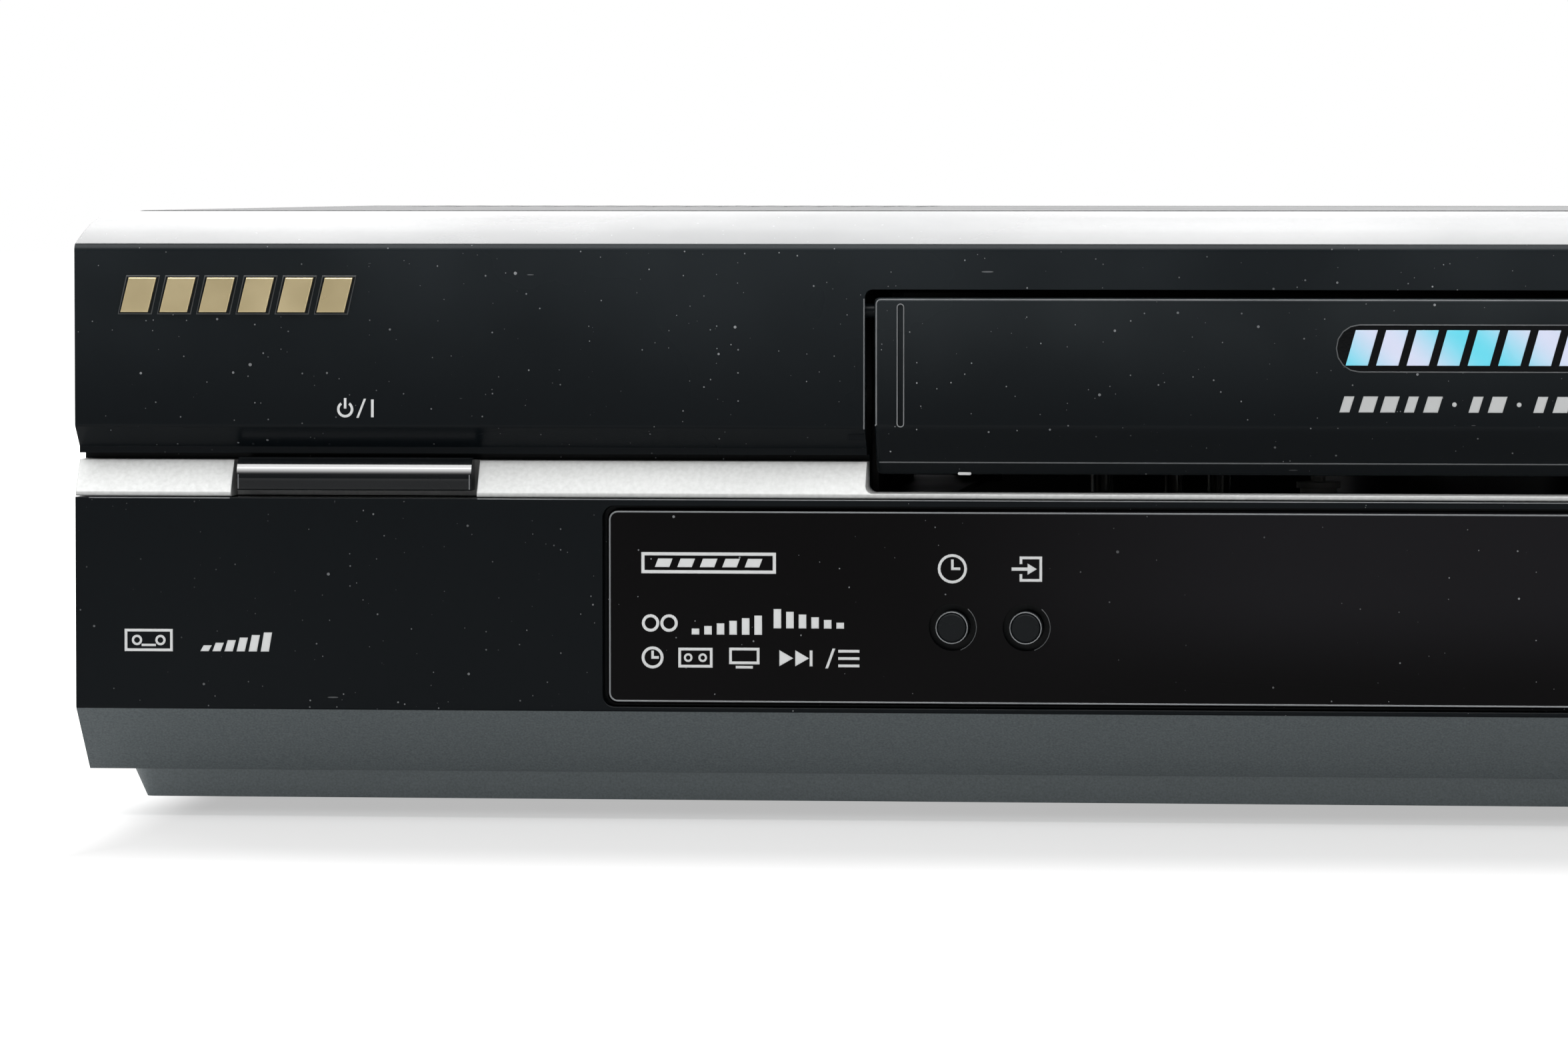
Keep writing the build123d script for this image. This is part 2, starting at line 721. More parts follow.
# ---------------------------------------------------------------- cover screws
# Pan-head screws: two through each side of the cover and four in the rear panel.
head_r = 3.0
screw_length = 6.0
side_head = width / 2 - cover_half - 0.05
with BuildPart() as cover_screws:
    for side in (-1, 1):
        with BuildSketch(Plane.YZ.offset(side * cover_half)):
            for y in side_screw_y:
                with Locations((y, side_screw_z)):
                    Circle(head_r)
        extrude(amount=side * side_head)
        with BuildSketch(Plane.YZ.offset(side * cover_half)):
            for y in side_screw_y:
                with Locations((y, side_screw_z)):
                    RegularPolygon(screw_r, 6)
        extrude(amount=-side * screw_length)
    with BuildSketch(Plane.XZ.offset(-rear_y)):
        with Locations(*rear_screw_places):
            Circle(head_r)
    extrude(amount=-1.8)
    with BuildSketch(Plane.XZ.offset(-rear_y)):
        with Locations(*rear_screw_places):
            RegularPolygon(screw_r, 6)
    extrude(amount=screw_length)
cover_screws.part.label = "cover_screws"
export_step(cover_screws.part, "parts/cover_screws.step")

# ---------------------------------------------------------------- front circuit board
# Board behind the lower face, with two raised corners that carry the switches of the bars.
board_half = flange_half - 7.3
board_low_z = 14.0
board_top_z = 47.0
board_ear_z = 57.5
board_ear_x = 112.0
with BuildPart() as front_board:
    with BuildSketch(at_depth(board_d)) as board_outline:
        with BuildLine():
            Polyline(
                (-board_half, board_low_z),
                (board_half, board_low_z),
                (board_half, board_ear_z),
                (board_ear_x, board_ear_z),
                (board_ear_x, board_top_z),
                (-board_ear_x, board_top_z),
                (-board_ear_x, board_ear_z),
                (-board_half, board_ear_z),
                close=True,
            )
        make_face()
        fillet(board_outline.vertices(), 1.5)
    extrude(amount=-board_sheet)
front_board.part.label = "front_board"
export_step(front_board.part, "parts/front_board.step")

# ---------------------------------------------------------------- switches on the front board
switch_places = [(-bar_x, bar_z), (bar_x, bar_z)]
switch_places += [(x, round_button_z) for x in round_places]
switch_places += list(key_places.values())
with BuildPart() as tact_switches:
    with BuildSketch(at_depth(switch_face_d + 1)):
        with Locations(*switch_places):
            Rectangle(6, 6)
    extrude(amount=-(switch_height - 1))
    with BuildSketch(at_depth(switch_face_d)):
        with Locations(*switch_places):
            Circle(1.7)
    extrude(amount=-1)
tact_switches.part.label = "tact_switches"
export_step(tact_switches.part, "parts/tact_switches.step")

# ---------------------------------------------------------------- display tube
# Flat glass vacuum tube with a pinched-off nipple at one end, on a frame against the board.
tube_half = 58.0
tube_d = 6.0
tube_size_z = 18.0
tube_z = 33.0
with BuildPart() as display_tube:
    with BuildSketch(at_depth(tube_d)):
        with Locations((0, tube_z)):
            RectangleRounded(2 * tube_half, tube_size_z, 1.0)
    extrude(amount=-(board_d - tube_d - 2.5))
    with BuildSketch(at_depth(board_d - 2.5)):
        with Locations((0, tube_z)):
            RectangleRounded(2 * tube_half + 4, tube_size_z + 4, 1.5)
    extrude(amount=-2.5)
    with BuildSketch(Plane.YZ.offset(tube_half)):
        with Locations((y_at(tube_d + 3), tube_z)):
            Circle(1.5)
    extrude(amount=4)
display_tube.part.label = "display_tube"
export_step(display_tube.part, "parts/display_tube.step")

# ---------------------------------------------------------------- deck chassis
# Pressed steel plate with turned-down edges, studs for the turning parts, slots for the loading
# guides and holes over the motors.
stud_top_z = deck_top + 18.0
idler_pivot_d = 45.5
idler_r = 12.0
pinch_pivot = (92.0, 146.0)
pinch_stud_r = 2.0
tension_pivot = (-82.0, 134.0)
cam_centre = (-74.0, 186.0)
cam_r = 20.0
cam_z = 31.5
guide_start = (30.0, 108.0)
guide_end = (43.0, 172.0)
guide_slot = 5.0
flywheel_r = 27.0
motor_hole_r = 20.0
guide_run = math.hypot(guide_end[0] - guide_start[0], guide_end[1] - guide_start[1])
guide_angle = math.degrees(math.atan2(guide_end[1] - guide_start[1], guide_end[0] - guide_start[0]))


def deck_point(x, d):
    """Point on the deck: x, and d behind the face."""
    return (x, y_at(d))


deck_mid_y = (y_at(deck_front_d) + y_at(deck_rear_d)) / 2
deck_length = deck_rear_d - deck_front_d
guide_mid_d = (guide_start[1] + guide_end[1]) / 2
guide_mid_x = (guide_start[0] + guide_end[0]) / 2
with BuildPart() as deck_chassis:
    with BuildSketch(at_height(deck_z)):
        with Locations((0, deck_mid_y)):
            RectangleRounded(2 * deck_half, deck_length, 3)
        with Locations(deck_point(0, drum_d)):
            Circle(motor_hole_r, mode=Mode.SUBTRACT)
        with Locations(deck_point(capstan_x, capstan_d)):
            Circle(7.5, mode=Mode.SUBTRACT)
        for side in (-1, 1):
            with Locations(deck_point(side * guide_mid_x, guide_mid_d)):
                SlotOverall(
                    guide_run + guide_slot + 4,
                    guide_slot,
                    rotation=90 + side * (guide_angle - 90),
                    mode=Mode.SUBTRACT,
                )
            with Locations(deck_point(side * 78, 62)):
                SlotOverall(44, 8, rotation=90, mode=Mode.SUBTRACT)
    extrude(amount=deck_sheet)
    with BuildSketch(at_height(deck_z)):
        for side in (-1, 1):
            with Locations(deck_point(side * (deck_half - deck_sheet / 2), 76)):
                Rectangle(deck_sheet, 100)
        with Locations(deck_point(0, deck_front_d + deck_sheet / 2)):
            Rectangle(180, deck_sheet)
    extrude(amount=-7)
    with BuildSketch(at_height(deck_top)):
        with Locations(deck_point(-reel_x, reel_d), deck_point(reel_x, reel_d)):
            Circle(reel_stud_r)
    extrude(amount=stud_top_z - deck_top)
    with BuildSketch(at_height(deck_top)):
        with Locations(deck_point(0, idler_pivot_d), deck_point(*pinch_pivot), deck_point(*tension_pivot)):
            Circle(pinch_stud_r)
    extrude(amount=6)
    with BuildSketch(at_height(deck_top)):
        with Locations(deck_point(*cam_centre)):
            Circle(3.0)
    extrude(amount=cam_z + 7.5 - deck_top)
    with BuildSketch(at_height(deck_top)):
        with Locations(deck_point(*cam_centre)):
            Circle(6.0)
    extrude(amount=cam_z - fit - deck_top)
    with BuildSketch(at_height(deck_top)):
        with Locations(deck_point(-reel_x, reel_d), deck_point(reel_x, reel_d), deck_point(0, idler_pivot_d)):
            Circle(3.2)
    extrude(amount=0.8)
deck_chassis.part.label = "deck_chassis"
export_step(deck_chassis.part, "parts/deck_chassis.step")

# ---------------------------------------------------------------- carriage brackets
# Bent steel side plates, screwed to the deck, with level slots that the slider runs in.
bracket_front_d = 24.0
bracket_rear_d = 134.0
bracket_top_z = 84.0
slider_front_d = 26.0
slider_rear_d = 80.0
slider_pin_r = 1.4
slider_pin_z = 76.0
slider_pin_d = (32.0, 74.0)
slot_play = 0.12
bracket_foot = 4.0


def make_bracket(side):
    """Side plate of the cassette lift; side is -1 on the left and 1 on the right."""
    inner = side * bracket_half
    slot_length = lift_travel + 2 * (slider_pin_r + slot_play)
    with BuildPart() as bracket:
        with BuildSketch(Plane.YZ.offset(inner)) as plate:
            with BuildLine():
                Polyline(
                    (y_at(bracket_front_d), deck_top),
                    (y_at(bracket_rear_d), deck_top),
                    (y_at(bracket_rear_d), bracket_top_z - 14),
                    (y_at(bracket_rear_d - 10), bracket_top_z),
                    (y_at(bracket_front_d), bracket_top_z),
                    close=True,
                )
            make_face()
            for d in slider_pin_d:
                slot_mid_d = d + lift_travel / 2
                with Locations((y_at(slot_mid_d), slider_pin_z)):
                    SlotOverall(slot_length, 2 * (slider_pin_r + slot_play), mode=Mode.SUBTRACT)
            with Locations((y_at(58), 52), (y_at(100), 52)):
                RectangleRounded(26, 26, 4, mode=Mode.SUBTRACT)
        extrude(amount=side * lift_sheet)
        with BuildSketch(at_height(deck_top)):
            with Locations(deck_point(side * (bracket_half + bracket_foot / 2), 45)):
                Rectangle(bracket_foot, 24)
            with Locations(deck_point(side * (bracket_half + bracket_foot / 2), 115)):
                Rectangle(bracket_foot, 24)
        extrude(amount=lift_sheet)
    return bracket.part


for name, side in (("left_bracket", -1), ("right_bracket", 1)):
    bracket_part = make_bracket(side)
    bracket_part.label = name
    export_step(bracket_part, f"parts/{name}.step")

# ---------------------------------------------------------------- carriage slider
# Two side plates joined by a bridge over the cassette.  Round lugs run in the brackets' slots,
# and upright slots guide the cassette holder as it drops.
holder_pin_r = 1.4
holder_pin_z = 63.0
holder_pin_d = (32.0, 72.0)
slider_low_z = holder_pin_z - lift_drop - 4.5
slider_top_z = holder_top_z + 4.4
bridge_sheet = 1.2
drop_slot = lift_drop + 2 * (holder_pin_r + slot_play)
with BuildPart() as carriage_slider:
    for side in (-1, 1):
        with BuildSketch(Plane.YZ.offset(side * slider_half)):
            with Locations((y_at((slider_front_d + slider_rear_d) / 2), (slider_low_z + slider_top_z) / 2)):
                RectangleRounded(slider_rear_d - slider_front_d, slider_top_z - slider_low_z, 2)
            for d in holder_pin_d:
                with Locations((y_at(d), holder_pin_z - lift_drop / 2)):
                    SlotOverall(
                        drop_slot,
                        2 * (holder_pin_r + slot_play),
                        rotation=90,
                        mode=Mode.SUBTRACT,
                    )
            with Locations((y_at(52), 54)):
                RectangleRounded(22, 22, 3, mode=Mode.SUBTRACT)
        extrude(amount=side * lift_sheet)
        with BuildSketch(Plane.YZ.offset(side * (slider_half + lift_sheet))):
            for d in slider_pin_d:
                with Locations((y_at(d), slider_pin_z)):
                    Circle(slider_pin_r)
        extrude(amount=side * (bracket_half + lift_sheet + 0.8 - slider_half - lift_sheet))
    with BuildSketch(at_height(slider_top_z - 2)):
        with Locations(deck_point(0, 60)):
            Rectangle(2 * slider_half, 16)
        with Locations(deck_point(0, 60)):
            with GridLocations(40, 1, 4, 1):
                RectangleRounded(26, 8, 2, mode=Mode.SUBTRACT)
    extrude(amount=bridge_sheet)
carriage_slider.part.label = "carriage_slider"
export_step(carriage_slider.part, "parts/carriage_slider.step")

# ---------------------------------------------------------------- cassette holder
# Open-fronted steel cradle: two ledges under the cassette, side walls, a pierced top plate
# with two spring fingers, and pins that ride in the slider's upright slots.
ledge = 13.0
holder_top_front_d = 31.0
holder_mid_d = holder_front_d + holder_length / 2
holder_rear_d = holder_front_d + holder_length
with BuildPart() as cassette_holder:
    for side in (-1, 1):
        wall_height = holder_top_z - holder_floor_z
        with BuildSketch(Plane.YZ.offset(side * (holder_half - lift_sheet))):
            with Locations((y_at(holder_mid_d), holder_floor_z + wall_height / 2 - 1.2)):
                Rectangle(holder_length, wall_height - 2.4)
            with Locations((y_at((holder_top_front_d + holder_rear_d) / 2), holder_top_z - 2)):
                Rectangle(holder_rear_d - holder_top_front_d, 4)
        extrude(amount=side * lift_sheet)
        with BuildSketch(at_height(holder_floor_z)):
            with Locations(deck_point(side * (holder_half - ledge / 2), holder_mid_d)):
                Rectangle(ledge, holder_length)
        extrude(amount=lift_sheet)
        with BuildSketch(Plane.YZ.offset(side * holder_half)):
            for d in holder_pin_d:
                with Locations((y_at(d), holder_pin_z)):
                    Circle(holder_pin_r)
        extrude(amount=side * (slider_half + lift_sheet + 0.5 - holder_half))
    with BuildSketch(at_height(holder_top_z - lift_sheet)):
        with Locations(deck_point(0, (holder_top_front_d + holder_rear_d) / 2)):
            Rectangle(2 * holder_half, holder_rear_d - holder_top_front_d)
        with Locations(deck_point(0, 57)):
            with GridLocations(56, 1, 3, 1):
                RectangleRounded(42, 34, 3, mode=Mode.SUBTRACT)
    extrude(amount=lift_sheet)
    for side in (-1, 1):
        with BuildSketch(at_height(holder_top_z - lift_sheet)):
            with Locations(deck_point(side * 56, 61)):
                Rectangle(7, 30)
        extrude(amount=0.5)
    with BuildSketch(at_depth(holder_rear_d)):
        with Locations((-84, holder_floor_z + 4), (84, holder_floor_z + 4)):
            Rectangle(8, 8)
    extrude(amount=lift_sheet)
cassette_holder.part.label = "cassette_holder"
export_step(cassette_holder.part, "parts/cassette_holder.step")

# ---------------------------------------------------------------- reels
# Spindle discs that turn on the deck's studs: a rubber-edged disc, a hub and a tall spindle
# with three splines that fit the cassette's hub.
reel_low_z = deck_top + 0.8 + fit
disc_z = deck_top + 2.0
disc_height = 3.0
spindle_top_z = stud_top_z + 2.0
spindle_r = 4.2


def make_reel(x):
    """Reel spindle on the stud at x."""
    with BuildPart() as reel:
        for radius, low, high in (
            (9.0, reel_low_z, disc_z + 6.0),
            (reel_disc_r, disc_z, disc_z + disc_height),
            (spindle_r, disc_z + 6.0, spindle_top_z),
        ):
            with BuildSketch(at_height(low)):
                with Locations(deck_point(x, reel_d)):
                    Circle(radius)
            extrude(amount=high - low)
        chamfer(reel.faces().sort_by(Axis.Z)[-1].edges(), 1.2)
        with BuildSketch(at_height(disc_z + 6.0)):
            with Locations(deck_point(x, reel_d)):
                with PolarLocations(spindle_r + 0.4, 3):
                    Rectangle(2.4, 1.6)
        extrude(amount=7)
        with BuildSketch(at_height(reel_low_z)):
            with Locations(deck_point(x, reel_d)):
                Circle(reel_stud_r + running)
        extrude(amount=stud_top_z + fit - reel_low_z, mode=Mode.SUBTRACT)
    return reel.part


for name, x in (("supply_reel", -reel_x), ("takeup_reel", reel_x)):
    reel_part = make_reel(x)
    reel_part.label = name
    export_step(reel_part, f"parts/{name}.step")

# ---------------------------------------------------------------- idler
# Swinging arm between the reels and the rubber-tyred wheel on its end.
idler_reach = reel_d - idler_pivot_d
idler_pin_r = 1.2
arm_z = deck_top + 1.0
arm_sheet = 1.2
with BuildPart() as idler_arm:
    with BuildSketch(at_height(arm_z)):
        with Locations(deck_point(0, idler_pivot_d + idler_reach / 2)):
            SlotCenterToCenter(idler_reach, 5, rotation=90)
        with Locations(deck_point(0, idler_pivot_d)):
            Circle(4.2)
    extrude(amount=arm_sheet)
    with BuildSketch(at_height(arm_z)):
        with Locations(deck_point(0, idler_pivot_d)):
            Circle(4.2)
    extrude(amount=3.6)
    with BuildSketch(at_height(arm_z)):
        with Locations(deck_point(0, idler_pivot_d)):
            Circle(pinch_stud_r + running)
    extrude(amount=8, mode=Mode.SUBTRACT)
    with BuildSketch(at_height(arm_z + arm_sheet)):
        with Locations(deck_point(0, reel_d)):
            Circle(idler_pin_r)
    extrude(amount=4.2)
idler_arm.part.label = "idler_arm"
export_step(idler_arm.part, "parts/idler_arm.step")

with BuildPart() as idler_wheel:
    with BuildSketch(at_height(arm_z + arm_sheet + fit)):
        with Locations(deck_point(0, reel_d)):
            Circle(idler_r)
            Circle(idler_pin_r + running, mode=Mode.SUBTRACT)
    extrude(amount=2.6)
    with BuildSketch(at_height(arm_z + arm_sheet + fit + 1.6)):
        with Locations(deck_point(0, reel_d)):
            Circle(idler_r - 2.0)
            Circle(3.4, mode=Mode.SUBTRACT)
    extrude(amount=1.0, mode=Mode.SUBTRACT)
idler_wheel.part.label = "idler_wheel"
export_step(idler_wheel.part, "parts/idler_wheel.step")

# ---------------------------------------------------------------- capstan
# Polished shaft pressed into a heavy flywheel, the bearing that guides it through the deck and
# the coil plate of its motor, hung below the flywheel on three pillars.
flywheel_low_z = 12.0
flywheel_top_z = 20.0
stator_z = 8.0
capstan_top_z = 57.0
bearing_top_z = 34.0
capstan_centre = deck_point(capstan_x, capstan_d)
with BuildPart() as capstan:
    with BuildSketch(at_height(flywheel_low_z)):
        with Locations(capstan_centre):
            Circle(flywheel_r)
    extrude(amount=flywheel_top_z - flywheel_low_z)
    with BuildSketch(at_height(flywheel_top_z)):
        with Locations(capstan_centre):
            Circle(flywheel_r - 5)
            Circle(7, mode=Mode.SUBTRACT)
    extrude(amount=-3, mode=Mode.SUBTRACT)
    with BuildSketch(at_height(stator_z + board_sheet + fit)):
        with Locations(capstan_centre):
            Circle(capstan_r)
    extrude(amount=capstan_top_z - stator_z - board_sheet - fit)
capstan.part.label = "capstan"
export_step(capstan.part, "parts/capstan.step")

with BuildPart() as capstan_bearing:
    with BuildSketch(at_height(flywheel_top_z + 0.4)):
        with Locations(capstan_centre):
            Circle(6.5)
    extrude(amount=bearing_top_z - flywheel_top_z - 0.4)
    with BuildSketch(at_height(deck_top)):
        with Locations(capstan_centre):
            Circle(11)
            with PolarLocations(9, 3):
                Circle(1.1, mode=Mode.SUBTRACT)
    extrude(amount=1.6)
    with BuildSketch(at_height(flywheel_top_z)):
        with Locations(capstan_centre):
            Circle(capstan_r + running)
    extrude(amount=16, mode=Mode.SUBTRACT)
capstan_bearing.part.label = "capstan_bearing"
export_step(capstan_bearing.part, "parts/capstan_bearing.step")

with BuildPart() as capstan_stator:
    with BuildSketch(at_height(stator_z)):
        with Locations(capstan_centre):
            Circle(flywheel_r + 6)
    extrude(amount=board_sheet)
    with BuildSketch(at_height(stator_z + board_sheet)):
        with Locations(capstan_centre):
            with PolarLocations(15, 6):
                Circle(5.5)
                Circle(2.5, mode=Mode.SUBTRACT)
    extrude(amount=1.8)
    with BuildSketch(at_height(stator_z + board_sheet)):
        with Locations(capstan_centre):
            with PolarLocations(flywheel_r + 3.5, 3, start_angle=-10):
                Circle(2.0)
    extrude(amount=deck_z - stator_z - board_sheet)
capstan_stator.part.label = "capstan_stator"
export_step(capstan_stator.part, "parts/capstan_stator.step")

# ---------------------------------------------------------------- pinch roller
# Arm that swings the rubber roller against the capstan.  It is drawn away from it at rest.
pinch_roller_r = 6.5
pinch_swing = 36.0
pinch_gap = 0.35
pinch_dx = capstan_x - pinch_pivot[0]
pinch_dd = capstan_d - pinch_pivot[1]
pinch_reach = math.hypot(pinch_dx, pinch_dd) - pinch_roller_r - capstan_r - pinch_gap
pinch_angle = math.degrees(math.atan2(pinch_dd, pinch_dx)) - pinch_swing
roller_x = pinch_pivot[0] + pinch_reach * math.cos(math.radians(pinch_angle))
roller_d = pinch_pivot[1] + pinch_reach * math.sin(math.radians(pinch_angle))
pinch_plate_z = bearing_top_z + 0.5
roller_z = pinch_plate_z + arm_sheet + 2 * fit
roller_height = 14.0
with BuildPart() as pinch_arm:
    arm_mid = deck_point((pinch_pivot[0] + roller_x) / 2, (pinch_pivot[1] + roller_d) / 2)
    with BuildSketch(at_height(pinch_plate_z)):
        with Locations(arm_mid):
            SlotCenterToCenter(pinch_reach, 7, rotation=pinch_angle)
    extrude(amount=arm_sheet)
    with BuildSketch(at_height(arm_z)):
        with Locations(deck_point(*pinch_pivot)):
            Circle(4.5)
    extrude(amount=pinch_plate_z + arm_sheet - arm_z)
    with BuildSketch(at_height(arm_z)):
        with Locations(deck_point(*pinch_pivot)):
            Circle(pinch_stud_r + running)
    extrude(amount=pinch_plate_z - arm_z + 4, mode=Mode.SUBTRACT)
    with BuildSketch(at_height(pinch_plate_z + arm_sheet)):
        with Locations(deck_point(roller_x, roller_d)):
            Circle(idler_pin_r)
    extrude(amount=roller_height + 2)
pinch_arm.part.label = "pinch_arm"
export_step(pinch_arm.part, "parts/pinch_arm.step")

with BuildPart() as pinch_roller:
    with BuildSketch(at_height(roller_z)):
        with Locations(deck_point(roller_x, roller_d)):
            Circle(pinch_roller_r)
            Circle(idler_pin_r + running, mode=Mode.SUBTRACT)
    extrude(amount=roller_height)
    chamfer(pinch_roller.edges().filter_by(GeomType.CIRCLE).sort_by(SortBy.RADIUS)[-2:], 0.5)
pinch_roller.part.label = "pinch_roller"
export_step(pinch_roller.part, "parts/pinch_roller.step")

# ---------------------------------------------------------------- tension arm
# Sprung arm on the supply side, with a post that feels how tight the tape is.
tension_post = (-54.0, 116.0)
post_top_z = 50.0
tension_dx = tension_post[0] - tension_pivot[0]
tension_dd = tension_post[1] - tension_pivot[1]
with BuildPart() as tension_arm:
    with BuildSketch(at_height(arm_z)):
        with Locations(deck_point(tension_pivot[0] + tension_dx / 2, tension_pivot[1] + tension_dd / 2)):
            SlotCenterToCenter(
                math.hypot(tension_dx, tension_dd),
                4,
                rotation=math.degrees(math.atan2(tension_dd, tension_dx)),
            )
    extrude(amount=arm_sheet)
    with BuildSketch(at_height(arm_z)):
        with Locations(deck_point(*tension_pivot)):
            Circle(4.2)
    extrude(amount=4.0)
    with BuildSketch(at_height(arm_z)):
        with Locations(deck_point(*tension_pivot)):
            Circle(pinch_stud_r + running)
    extrude(amount=8, mode=Mode.SUBTRACT)
    with BuildSketch(at_height(arm_z + arm_sheet)):
        with Locations(deck_point(*tension_post)):
            Circle(1.5)
    extrude(amount=post_top_z - arm_z - arm_sheet)
tension_arm.part.label = "tension_arm"
export_step(tension_arm.part, "parts/tension_arm.step")

# ---------------------------------------------------------------- loading guides
# Two blocks that run along the deck's slots and carry the roller posts that draw the tape out
# of the cassette and round the drum.
guide_base_r = 5.8


def make_guide(side):
    """Loading guide at the cassette end of its slot; side is -1 for supply, 1 for take-up."""
    place = deck_point(side * guide_start[0], guide_start[1])
    with BuildPart() as guide:
        for radius, low, high in (
            (4.0, deck_z - 1.5, deck_z - fit),
            (guide_slot / 2 - 0.2, deck_z - fit, deck_top + fit),
            (guide_base_r, deck_top + fit, deck_top + 4.3),
            (1.1, deck_top + 4.3, post_top_z),
            (3.0, deck_top + 9.0, post_top_z - 3.0),
            (3.6, deck_top + 8.0, deck_top + 9.0),
            (3.6, post_top_z - 3.0, post_top_z - 2.0),
        ):
            with BuildSketch(at_height(low)):
                with Locations(place):
                    Circle(radius)
            extrude(amount=high - low)
    return guide.part


for name, side in (("supply_guide", -1), ("takeup_guide", 1)):
    guide_part = make_guide(side)
    guide_part.label = name
    export_step(guide_part, f"parts/{name}.step")

# ---------------------------------------------------------------- head drum
# The lower drum stands still on the deck, leaning to the left.  The upper drum turns on a shaft
# through it, with the motor's magnet at the shaft's lower end, between the coils.
lean = math.radians(drum_tilt)
drum_low_z = 28.0
lower_drum_height = 14.0
upper_drum_height = 15.5
drum_gap = 0.35
drum_shaft_r = 3.0
drum_plane = Plane(
    origin=(0, y_at(drum_d), drum_low_z),
    x_dir=(math.cos(lean), 0, math.sin(lean)),
    z_dir=(-math.sin(lean), 0, math.cos(lean)),
)
magnet_r = 15.0
magnet_drop = 14.0
with BuildPart() as lower_drum:
    with BuildSketch(drum_plane):
        Circle(drum_r)
    extrude(amount=lower_drum_height)
    with BuildSketch(at_height(deck_top)):
        with Locations(deck_point(0, drum_d)):
            Circle(24)
    extrude(amount=8)
    with BuildSketch(drum_plane.offset(-12)):
        Circle(drum_shaft_r + running)
    extrude(amount=40, mode=Mode.SUBTRACT)
    with BuildSketch(drum_plane.offset(lower_drum_height)):
        Circle(26)
        Circle(9, mode=Mode.SUBTRACT)
    extrude(amount=-4, mode=Mode.SUBTRACT)
lower_drum.part.label = "lower_drum"
export_step(lower_drum.part, "parts/lower_drum.step")

with BuildPart() as upper_drum:
    with BuildSketch(drum_plane.offset(lower_drum_height + drum_gap)):
        Circle(drum_r)
    extrude(amount=upper_drum_height)
    chamfer(upper_drum.faces().sort_by(Axis.Z)[-1].edges(), 0.8)
    with BuildSketch(drum_plane.offset(lower_drum_height + drum_gap + upper_drum_height)):
        Circle(24)
        Circle(10, mode=Mode.SUBTRACT)
    extrude(amount=-5, mode=Mode.SUBTRACT)
    with BuildSketch(drum_plane.offset(lower_drum_height + drum_gap)):
        with PolarLocations(drum_r - 2, 2):
            Rectangle(5, 4)
    extrude(amount=3, mode=Mode.SUBTRACT)
    with BuildSketch(drum_plane.offset(-magnet_drop)):
        Circle(drum_shaft_r)
    extrude(amount=magnet_drop + lower_drum_height + 2)
    with BuildSketch(drum_plane.offset(-magnet_drop - 3)):
        Circle(magnet_r)
    extrude(amount=3)
upper_drum.part.label = "upper_drum"
export_step(upper_drum.part, "parts/upper_drum.step")

with BuildPart() as drum_motor:
    with BuildSketch(at_height(deck_top - fit)):
        with Locations(deck_point(0, drum_d)):
            Circle(motor_hole_r - 0.5)
            Circle(6.5, mode=Mode.SUBTRACT)
    extrude(amount=-(deck_top - fit - 17.4))
drum_motor.part.label = "drum_motor"
export_step(drum_motor.part, "parts/drum_motor.step")

# ---------------------------------------------------------------- heads and posts
with BuildPart() as erase_head:
    with BuildSketch(at_height(deck_top)):
        with Locations(deck_point(-60, 146)):
            RectangleRounded(12, 9, 1)
    extrude(amount=1.5)
    with BuildSketch(at_height(deck_top + 1.5)):
        with Locations(deck_point(-60, 146)):
            Rectangle(9, 6)
            with Locations((4.5, 0)):
                Circle(3)
    extrude(amount=20)
erase_head.part.label = "erase_head"
export_step(erase_head.part, "parts/erase_head.step")

with BuildPart() as audio_head:
    with BuildSketch(at_height(deck_top)):
        with Locations(deck_point(55, 157)):
            RectangleRounded(12, 10, 1.5)
    extrude(amount=2)
    with BuildSketch(at_height(deck_top + 2)):
        with Locations(deck_point(53, 158)):
            Rectangle(7, 7)
            with Locations((-2.5, -3.5)):
                Circle(2.2)
    extrude(amount=22)
    with BuildSketch(at_height(deck_top + 2)):
        with Locations(deck_point(59, 160), deck_point(59, 154.5)):
            Circle(1.2)
    extrude(amount=6)
audio_head.part.label = "audio_head"
export_step(audio_head.part, "parts/audio_head.step")

post_places = ((-68, 154), (-48, 150), (48, 143))
with BuildPart() as guide_posts:
    for place in post_places:
        for radius, low, high in (
            (3.0, deck_top, deck_top + 3),
            (2.0, deck_top + 3, post_top_z - 2),
            (2.8, post_top_z - 2, post_top_z),
        ):
            with BuildSketch(at_height(low)):
                with Locations(deck_point(*place)):
                    Circle(radius)
            extrude(amount=high - low)
guide_posts.part.label = "guide_posts"
export_step(guide_posts.part, "parts/guide_posts.step")

